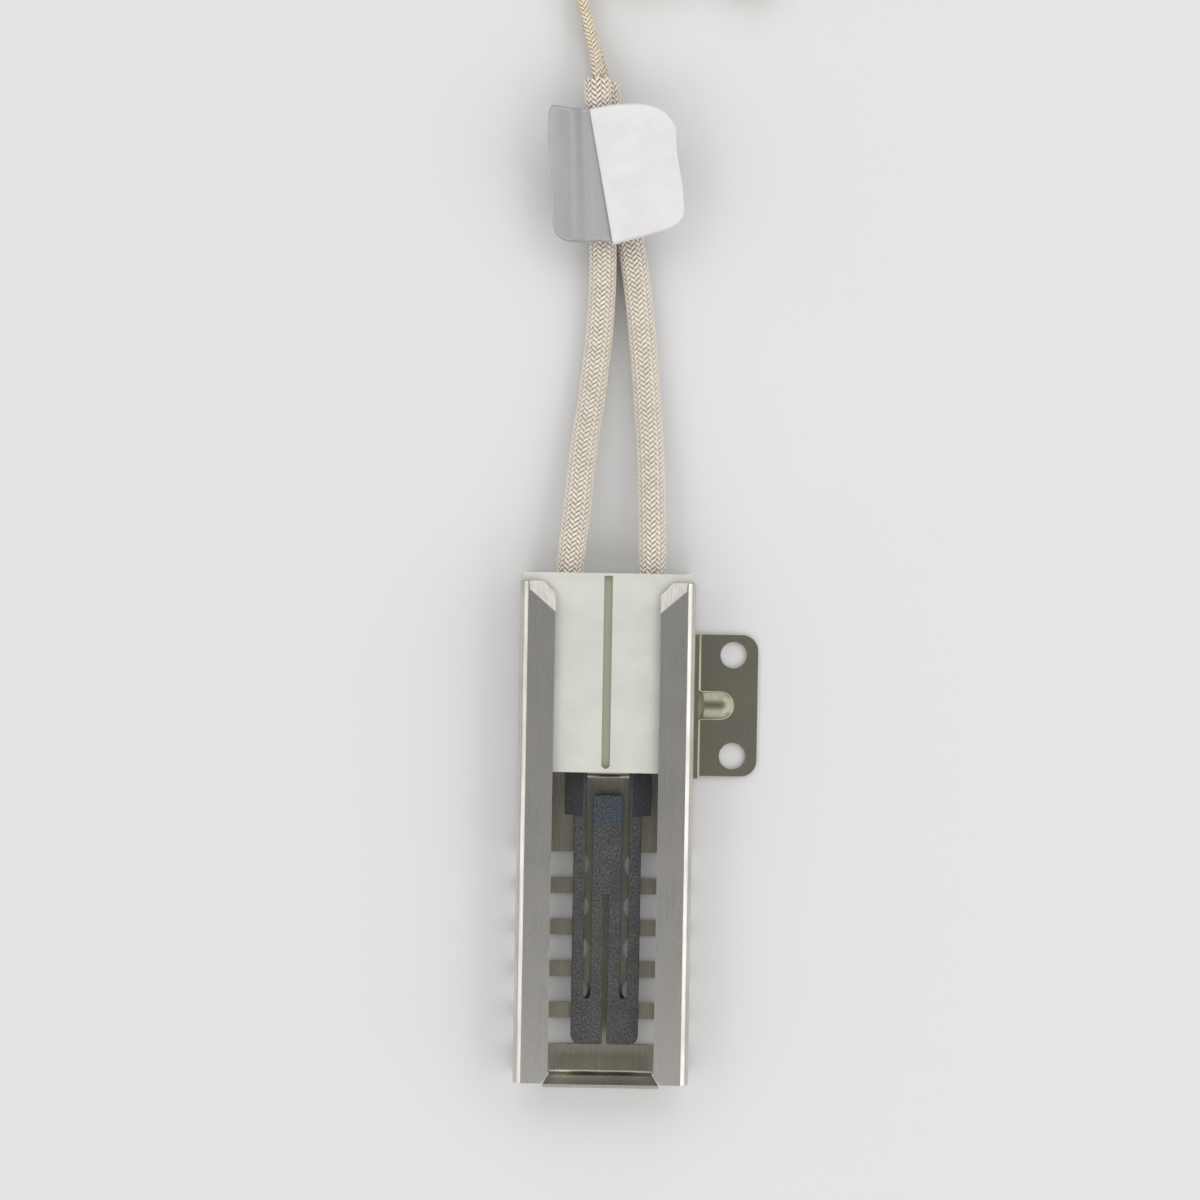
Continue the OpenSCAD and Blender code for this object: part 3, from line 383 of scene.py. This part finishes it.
def grow(tree, name, mesh_or_curve, sizes):
    """A plain mesh made by a Geometry Nodes tree on an object, with its named inputs set."""
    source = new_object(name + "_source", mesh_or_curve)
    modifier = source.modifiers.new(tree.name, "NODES")
    modifier.node_group = tree
    for item in tree.interface.items_tree:
        if item.in_out == "INPUT" and item.name in sizes:
            modifier[item.identifier] = sizes[item.name]
    made = bpy.data.meshes.new_from_object(
        source.evaluated_get(bpy.context.evaluated_depsgraph_get()))
    made.name = name
    bpy.data.objects.remove(source)
    return new_object(name, made)


def route_curve(name, route):
    """A poly curve along a route."""
    curve = bpy.data.curves.new(name, "CURVE")
    curve.dimensions = "3D"
    spline = curve.splines.new("POLY")
    spline.points.add(len(route) - 1)
    for point, place in zip(spline.points, route):
        point.co = (*place, 1)
    return curve


lead_yarns = {
    "Outer Diameter": lead_d, "Yarns Each Way": 8, "Lay Length": 7.5 * MM, "Yarn Width": 0.5 * MM,
    "Yarn Thickness": 0.12 * MM, "Core Wall": 0.2 * MM, "Braid Starts At": 95 * MM,
    "Points Per Crossing": 2, "Yarn Sides": 4, "Material": lead_braid,
}
leads = {}
for side, route in (("left", left_route), ("right", right_route)):
    lead = grow(braider, "lead_" + side, route_curve("lead_route", route), lead_yarns)
    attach(lead, "root")
    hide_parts(f"lead_{side}_run", f"lead_{side}_coil", f"lead_{side}_tail")
    leads[side] = (lead, route)

# ---------------------------------------------------------------- sleeves
# A thick sleeve of glass fibre yarn, braided and not varnished, pushed over each lead and held in
# a socket in the block. Its upper end is cut square.
# The hollows between the sleeve's yarns are painted dark brown, mostly as painted shade.
sleeve_yarn = yarn_material("glass_fibre_sleeving", "#e5dcd0", "#65533f", 0.6, 0.2)
sleeve_yarns = {
    "Outer Diameter": 5.2 * MM, "Yarns Each Way": 16, "Lay Length": 15 * MM,
    "Yarn Width": 0.58 * MM, "Yarn Thickness": 0.36 * MM, "Core Wall": 0.6 * MM,
    "Braid Starts At": 0.0, "Points Per Crossing": 2, "Yarn Sides": 6, "Material": sleeve_yarn,
}
sleeve_foot_y, sleeve_top_y = 22 * MM, 116.6 * MM
for side, run in (("left", left_run), ("right", right_run)):
    covered_route = [p for p in smooth_route(run) if sleeve_foot_y <= p.y <= sleeve_top_y]
    sleeve = grow(braider, "sleeve_braid_" + side, route_curve("sleeve_route", covered_route),
                  sleeve_yarns)
    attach(sleeve, "root")
    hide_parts("sleeve_" + side)

# ---------------------------------------------------------------- tag
# A small label of coated paper film, laid over the two sleeves and creased. Its left part shows the
# silver-grey face, and after a pleat its right part shows the white face. It is left blank.
tag_t = 0.14 * MM
tag_crown = 0.35  # mm that the middle stands up, where the sleeves under it rise in a curve
# Stations from left to right, in mm: lower end, upper end, and how far the line between them sways
left_wing = [
    ((-35.3, 89.6, 7.1), (-36.4, 109.6, 10.2), 0.3),
    ((-34.9, 87.7, 6.9), (-35.9, 111, 10), 0.2),
    ((-33.4, 86.5, 6.6), (-34, 111, 9.5), 0),
    ((-31.3, 86.1, 6.7), (-32.1, 110.7, 9.6), 0),
    ((-29, 85.9, 8.3), (-30.25, 110.4, 11.2), 0),
]
strip = [
    ((-29, 85.9, 8.3), (-30.25, 110.4, 11.2), 0),
    ((-28.1, 86, 8.3), (-29.5, 110.3, 11.15), 0),
    ((-26.6, 86.15, 8.7), (-28.6, 110.25, 11.3), 0),
    ((-25, 86, 8.6), (-27.9, 110.2, 11.3), 0),
    ((-23.3, 85.8, 8.2), (-27.2, 110.2, 11.1), 0),
]
pleat = [
    ((-23.3, 85.8, 8.2), (-27.2, 110.2, 11.1), 0),
    ((-22.9, 85.8, 8.3), (-26.9, 110.2, 11.2), 0),
    ((-23.2, 85.7, 8.5), (-27.3, 110.2, 11.4), 0),
    ((-23.9, 85.6, 8.8), (-28.6, 110.1, 11.6), 0),
    ((-24.1, 85.6, 8.95), (-28.8, 110.1, 11.7), 0),
]
right_wing = [
    ((-24.1, 85.6, 8.95), (-28.8, 110.1, 11.7), 0),
    ((-23.5, 85.65, 9.15), (-28, 110.3, 11.9), 0),
    ((-20.3, 86.5, 9.2), (-24.3, 111, 11.9), 0),
    ((-15.7, 87.9, 8.9), (-20.3, 111.3, 11.6), 0),
    ((-13.3, 88.8, 8.6), (-17.6, 111.1, 11.3), 0.05),
    ((-11.9, 89.8, 8.4), (-15, 109.9, 11.1), 0.15),
    ((-11, 91.2, 8.2), (-12.8, 107.3, 10.7), 0.25),
]


def tag_panel(stations, across=6, along=30):
    """Rows of points of one panel: a smooth curve through the stations, ruled from end to end."""
    lows = smooth_curve([s[0] for s in stations], lambda span: across)
    highs = smooth_curve([s[1] for s in stations], lambda span: across)
    sways = smooth_curve([(s[2], 0, 0) for s in stations], lambda span: across)
    rows = []
    for low, high, sway in zip(lows, highs, sways):
        row = []
        for j in range(along + 1):
            t = j / along
            point = low.lerp(high, t)
            point.x += sway.x * math.sin(math.tau * t)
            point.z += tag_crown * math.sin(math.pi * t)
            row.append(point * MM)
        rows.append(row)
    return rows


def film_material(name, colour, roughness):
    """Coated label film: even, satin, with faint waves of handling."""
    material, tree = blank_material(name)
    place = place_on(tree)
    cloud = noise(tree, place, 4 * MM, 3.0)  # uneven coating
    dents = noise(tree, place, 5 * MM, 1.0)  # from handling
    fibre = noise(tree, place, 0.15 * MM, 2.0)  # of the paper under the coat
    surface(tree, {
        "Base Color": scaled(tree, paint(colour)[:3], remap(tree, cloud, 0.3, 0.7, 0.95, 1.03)),
        "Roughness": roughness, "IOR": 1.5, "Coat Weight": 0.3, "Coat Roughness": 0.2,
        "Normal": relief(tree, fibre, 0.15, 0.02 * MM, relief(tree, dents, 0.5, 0.3 * MM))})
    return material


tag_mesh = bpy.data.meshes.new("folded_tag_sheet")
tag_mesh.materials.append(film_material("white_label_film", "#dbd9db", 0.45))
tag_mesh.materials.append(film_material("silver_label_film", "#a2a3a5", 0.28))
build = bmesh.new()
for panel, face in ((left_wing, 1), (strip, 1), (pleat, 0), (right_wing, 0)):
    rows = [[build.verts.new(p) for p in row] for row in tag_panel(panel)]
    for a, b in zip(rows, rows[1:]):
        for j in range(len(a) - 1):
            quad = build.faces.new((a[j], b[j], b[j + 1], a[j + 1]))
            quad.material_index = face
            quad.smooth = True
bmesh.ops.remove_doubles(build, verts=build.verts, dist=TOUCHING)
build.to_mesh(tag_mesh)
build.free()
tag_mesh.set_sharp_from_angle(angle=math.radians(20))
tag = new_object("folded_tag_sheet", tag_mesh)
thickness = tag.modifiers.new("thickness", "SOLIDIFY")
thickness.thickness = tag_t
thickness.offset = 0
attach(tag, "root")
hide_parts("folded_tag")


def softened(node, edge_r):
    """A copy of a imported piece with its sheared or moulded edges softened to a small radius."""
    sharp = math.radians(38)  # a bend that turns more than this from face to face is an edge
    mesh = nodes[node].data.copy()
    if "custom_normal" in mesh.attributes:
        mesh.attributes.remove(mesh.attributes["custom_normal"])
    build = bmesh.new()
    build.from_mesh(mesh)
    bmesh.ops.remove_doubles(build, verts=build.verts, dist=TOUCHING)
    bmesh.ops.dissolve_limit(build, angle_limit=math.radians(0.5), verts=build.verts,
                             edges=build.edges)
    for face in build.faces:
        face.smooth = True
    build.to_mesh(mesh)
    build.free()
    mesh.set_sharp_from_angle(angle=sharp)
    piece = new_object(node + "_finish", mesh)
    edges = piece.modifiers.new("edges", "BEVEL")
    edges.width = edge_r
    edges.segments = 2
    edges.limit_method = "ANGLE"
    edges.angle_limit = sharp
    edges.harden_normals = True
    evened = piece.modifiers.new("evened", "WEIGHTED_NORMAL")
    evened.keep_sharp = True
    evened.weight = 80
    made = bpy.data.meshes.new_from_object(
        piece.evaluated_get(bpy.context.evaluated_depsgraph_get()))
    made.name = node + "_finish"
    piece.modifiers.clear()
    piece.data = made
    return piece


def finish_piece(node, edge_r, material):
    """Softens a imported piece, gives it its material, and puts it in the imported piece's place."""
    piece = softened(node, edge_r)
    piece.data.materials.clear()
    piece.data.materials.append(material)
    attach(piece, "root")
    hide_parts(node)


def rolled_steel(name, bright, dull, roughness, grain=0.25 * MM, run=14 * MM, shade_below=None):
    """Rolled sheet: fine lines along the rolling direction, faint clouds, and painted shade low down
    where a height is given.
    """
    material, tree = blank_material(name)
    place = place_on(tree)
    stretched = add(tree, "ShaderNodeVectorMath", {"operation": "MULTIPLY"}, {
        0: place, 1: (1 / grain, 1 / run, 1 / grain)}).outputs[0]
    lines = add(tree, "ShaderNodeTexNoise", {}, {
        "Vector": stretched, "Scale": 1.0, "Detail": 4.0, "Roughness": 0.6}).outputs[0]
    clouds = noise(tree, place, 9 * MM, 4.0)  # oil and handling marks
    both = add(tree, "ShaderNodeMix", {"data_type": "FLOAT"}, {0: 0.45, 2: lines, 3: clouds})
    spread = remap(tree, both.outputs[0], 0.35, 0.65)
    tone = blend(tree, spread, paint(dull), paint(bright))
    if shade_below:
        # painted shade: below this height the steel is darkened, for the back plate deep inside the
        # cage
        height = add(tree, "ShaderNodeSeparateXYZ", {}, {0: place}).outputs[2]
        tone = blend(tree, math_node(tree, "LESS_THAN", height, shade_below), tone,
                     paint("#dcd9cd"), "MULTIPLY")
    surface(tree, {
        "Base Color": tone, "Metallic": 1.0,
        "Roughness": remap(tree, spread, 0.0, 1.0, roughness * 1.25, roughness * 0.85),
        "Normal": relief(tree, lines, 0.25, 0.01 * MM)})
    return material


# The back plate deep inside the cage, below 1.2 mm, is painted darker as shade.
cage_steel = rolled_steel("stainless_cage_sheet", "#dedbd5", "#bcb8b3", 0.28,
                          shade_below=1.2 * MM)
finish_piece("guard_cage", 0.07 * MM, cage_steel)

# ---------------------------------------------------------------- mounting bracket
# An angle of thicker, duller sheet steel with a pressed rib, joined to the cage wall by four
# resistance welds.
bracket_steel = rolled_steel("plain_bracket_sheet", "#aba798", "#8a8677", 0.3)
finish_piece("mounting_bracket", 0.08 * MM, bracket_steel)
weld_steel = rolled_steel("weld_metal", "#8d8a80", "#6f6a60", 0.5)
finish_piece("weld_nuggets", 0.05 * MM, weld_steel)

# ---------------------------------------------------------------- ceramic block
# Dry-pressed steatite, unglazed: off-white, with a fine grain and a few dark iron specks. The
# groove along its top is painted darker and olive, partly as grime and partly as painted shade.
block_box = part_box("ceramic_block")
groove_x, groove_half_w, groove_lip = -23.85 * MM, 0.79 * MM, 0.25 * MM
steatite, tree = blank_material("pressed_steatite")
place = place_on(tree)
where = add(tree, "ShaderNodeSeparateXYZ", {}, {0: place}).outputs
off_centre = math_node(tree, "ABSOLUTE", math_node(tree, "SUBTRACT", where[0], groove_x))
in_groove = math_node(
    tree, "MULTIPLY", math_node(tree, "LESS_THAN", off_centre, groove_half_w),
    math_node(tree, "LESS_THAN", where[2], block_box[1][2] - groove_lip))
powder = noise(tree, place, 0.3 * MM, 3.0)  # pressed grains
patches = noise(tree, place, 6 * MM, 3.0)  # where it was handled
specks = add(tree, "ShaderNodeTexVoronoi", {}, {  # one iron speck in every 1.6 mm, 0.2 mm across
    "Vector": place, "Scale": 1 / (1.6 * MM)}).outputs[0]
body = blend(tree, remap(tree, patches, 0.35, 0.65), paint("#bfc0ba"), paint("#c8c8c2"))
# painted shade with some grime: the groove is darkened towards olive
groove_grime_and_shade = blend(tree, math_node(tree, "MULTIPLY", in_groove, 0.8), body, paint("#9c9d88"))
speckled = blend(
    tree, math_node(tree, "MULTIPLY", math_node(tree, "LESS_THAN", specks, 0.07), 0.5),
    groove_grime_and_shade, paint("#8f8672"))
surface(tree, {
    "Base Color": speckled, "Roughness": 0.75, "IOR": 1.55,
    "Normal": relief(tree, powder, 0.35, 0.05 * MM)})
finish_piece("ceramic_block", 0.2 * MM, steatite)

# ---------------------------------------------------------------- heating element
# A flat blade of recrystallised silicon carbide, slit so that the current runs down, round and back.
# It is dark grey and granular, and bluish where silicon has soaked in at the cold ends.
element_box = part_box("heating_element")
element_x = (element_box[0][0] + element_box[1][0]) / 2
blade_half_w, pad_inner_x = 3.4 * MM, 4.6 * MM  # from the element's middle
pad_coat_y, blade_coat_drop = -20.6 * MM, -1.5 * MM  # the bluish coat ends lower on the blade
coat_raggedness = 0.6 * MM
carbide, tree = blank_material("recrystallised_silicon_carbide")
place = place_on(tree)
where = add(tree, "ShaderNodeSeparateXYZ", {}, {0: place}).outputs
off_centre = math_node(tree, "ABSOLUTE", math_node(tree, "SUBTRACT", where[0], element_x))
grit = noise(tree, place, 0.35 * MM, 4.0)  # fused grains, coarser than life so that they show
on_blade = math_node(tree, "LESS_THAN", off_centre, blade_half_w)
coat_end = math_node(tree, "MULTIPLY_ADD", on_blade, blade_coat_drop, pad_coat_y)
coated = math_node(tree, "GREATER_THAN", math_node(
    tree, "MULTIPLY_ADD", grit, coat_raggedness, where[1]), coat_end)
firing = remap(tree, noise(tree, place, 2.5 * MM, 3.0), 0.35, 0.65)  # uneven
bare = blend(tree, firing, paint("#39383b"), paint("#434242"))
siliconised = blend(tree, math_node(tree, "GREATER_THAN", off_centre, pad_inner_x),
                    paint("#343b44"), paint("#28272a"))
tone = blend(tree, coated, bare, siliconised)
surface(tree, {
    "Base Color": scaled(tree, tone, remap(tree, grit, 0.38, 0.66, 0.5, 1.9)),
    "Roughness": 0.6, "IOR": 1.6, "Specular IOR Level": 0.35,
    "Normal": relief(tree, grit, 0.5, 0.06 * MM)})
finish_piece("heating_element", 0.12 * MM, carbide)

# ---------------------------------------------------------------- cement
# Refractory cement holds the element's pads in the block and seals the leads: trowelled in wet, so
# it is a little rough, and chalky when dry.
cement, tree = blank_material("refractory_cement")
lumps = noise(tree, place_on(tree), 0.5 * MM, 5.0)  # sand and trowel marks
surface(tree, {
    "Base Color": blend(tree, lumps, paint("#a7a294"), paint("#e1ded3")),
    "Roughness": 0.9, "IOR": 1.5, "Normal": relief(tree, lumps, 0.8, 0.15 * MM)})
finish_piece("element_cement", 0.1 * MM, cement)
finish_piece("lead_cement", 0.08 * MM, cement)

# ---------------------------------------------------------------- terminals
# Inside the block: a nickel strip folded over each pad, a nickel ferrule crimped on its tail, and
# the tinned copper strands of the lead.
nickel = rolled_steel("annealed_nickel", "#cdc6b8", "#b0a797", 0.34, 0.15 * MM, 3 * MM)
strand_pitch = 0.25 * MM  # about, from strand to strand
strands, tree = blank_material("tinned_copper_strand")
twist = add(tree, "ShaderNodeTexWave", {"bands_direction": "DIAGONAL"}, {
    "Vector": place_on(tree), "Scale": math.tau / (20 * strand_pitch),
    "Distortion": 0.5}).outputs["Fac"]
surface(tree, {
    "Base Color": blend(tree, twist, paint("#8f6a52"), paint("#d6ccc0")),
    "Metallic": 1.0, "Roughness": 0.35, "Normal": relief(tree, twist, 0.8, 0.08 * MM)})
for side in ("left", "right"):
    finish_piece("terminal_clip_" + side, 0.05 * MM, nickel)
    finish_piece("crimp_ferrule_" + side, 0.06 * MM, nickel)
    finish_piece("conductor_" + side, 0.04 * MM, strands)

# ---------------------------------------------------------------- tie
# A nylon tie strap holds the coil of stored lead together: ladder teeth along the strap, and a
# square head.


def moulded_nylon(name, colour, roughness):
    """Moulded nylon: soft and slightly translucent, with a fine mould texture."""
    material, tree = blank_material(name)
    place = place_on(tree)
    grain = noise(tree, place, 0.2 * MM, 2.0)  # spark-eroded mould texture
    flow = noise(tree, place, 3 * MM, 2.0)  # flow marks
    surface(tree, {
        "Base Color": scaled(tree, paint(colour)[:3], remap(tree, flow, 0.3, 0.7, 0.93, 1.03)),
        "Roughness": roughness, "IOR": 1.53,
        "Subsurface Weight": 0.15, "Subsurface Scale": 0.5 * MM,
        "Normal": relief(tree, grain, 0.25, 0.03 * MM)})
    return material


tie_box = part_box("coil_tie")
strap_t, strap_w, strap_bend = 0.4 * MM, 2.4 * MM, 1.3 * MM
tooth_pitch, tooth_h = 0.7 * MM, 0.12 * MM
head_size = Vector((3.4, 3.4, 2.2)) * MM
tail_size = Vector((4.2, 2.1, 0.4)) * MM
tail_in_head, tail_rise = 0.8 * MM, 0.9 * MM
strap_top = tie_box[1][2] - head_size.z


def strap_loop():
    """Places and outward directions round the strap in XZ, two for every tooth where it is straight."""
    x0, x1 = tie_box[0][0] + strap_t / 2, tie_box[1][0] - strap_t / 2
    z0, z1 = strap_t / 2, strap_top - strap_t / 2
    corners = ((x1, z1, -1, -1, 0), (x0, z1, 1, -1, 90), (x0, z0, 1, 1, 180), (x1, z0, -1, 1, 270))
    bends = []
    for x, z, inward_x, inward_z, start in corners:
        centre = Vector((x + inward_x * strap_bend, 0, z + inward_z * strap_bend))
        for turn in range(0, 91, 15):
            angle = math.radians(start + turn)
            out = Vector((math.cos(angle), 0, math.sin(angle)))
            bends.append((centre + out * strap_bend, out))
    loop = []
    for (a, out_a), (b, out_b) in zip(bends, bends[1:] + bends[:1]):
        count = max(1, round((b - a).length / (tooth_pitch / 2)))
        for i in range(count):
            loop.append((a.lerp(b, i / count), out_a.lerp(out_b, i / count).normalized()))
    return loop


def rounded_block(build, size, place, edge_r):
    """A moulded block with rounded edges, added to a mesh that is being built."""
    made = bmesh.ops.create_cube(build, size=1)["verts"]
    bmesh.ops.scale(build, vec=size, verts=made)
    bmesh.ops.translate(build, vec=place, verts=made)
    edges = {edge for vert in made for edge in vert.link_edges}
    bmesh.ops.bevel(build, geom=list(edges), offset=edge_r, segments=3, profile=0.5,
                    affect="EDGES")


build = bmesh.new()
half_w, half_t, chamfer = strap_w / 2, strap_t / 2, 0.08 * MM
rings = []
tie_y = (tie_box[0][1] + tie_box[1][1]) / 2
for i, (place, out) in enumerate(strap_loop()):
    tooth = tooth_h if i % 2 and out.z > -0.5 else 0
    profile = (
        (-half_w, chamfer - half_t), (-half_w, half_t - chamfer), (chamfer - half_w, half_t + tooth),
        (half_w - chamfer, half_t + tooth), (half_w, half_t - chamfer), (half_w, chamfer - half_t),
        (half_w - chamfer, -half_t), (chamfer - half_w, -half_t))
    rings.append([build.verts.new(place + out * t + Vector((0, tie_y + y, 0))) for y, t in profile])
for a, b in zip(rings, rings[1:] + rings[:1]):
    for j in range(len(a)):
        k = (j + 1) % len(a)
        build.faces.new((a[j], a[k], b[k], b[j]))
head_x = (tie_box[0][0] + tie_box[1][0]) / 2
rounded_block(build, head_size, Vector((head_x, tie_y, strap_top + head_size.z / 2)), 0.35 * MM)
tail_x = head_x - head_size.x / 2 - tail_size.x / 2 + tail_in_head
rounded_block(build, tail_size, Vector((tail_x, tie_y, strap_top + tail_rise)), 0.12 * MM)
bmesh.ops.recalc_face_normals(build, faces=build.faces)
for face in build.faces:
    face.smooth = True
strap_mesh = bpy.data.meshes.new("coil_tie_strap")
build.to_mesh(strap_mesh)
build.free()
strap_mesh.set_sharp_from_angle(angle=math.radians(30))
strap_mesh.materials.append(moulded_nylon("natural_nylon_tie", "#e6e5de", 0.4))
strap = new_object("coil_tie_strap", strap_mesh)
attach(strap, "root")
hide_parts("coil_tie")

# ---------------------------------------------------------------- connector
# A two-way housing moulded in natural nylon, with a pressed brass contact on each lead.
housing_nylon = moulded_nylon("natural_nylon_housing", "#e3e1d6", 0.45)
finish_piece("connector_housing", 0.15 * MM, housing_nylon)
contact_brass = rolled_steel("tinned_brass_contact", "#d8c07a", "#b89c58", 0.3, 0.1 * MM, 2 * MM)
for side in ("left", "right"):
    finish_piece("connector_contact_" + side, 0.04 * MM, contact_brass)
    lead, route = leads[side]
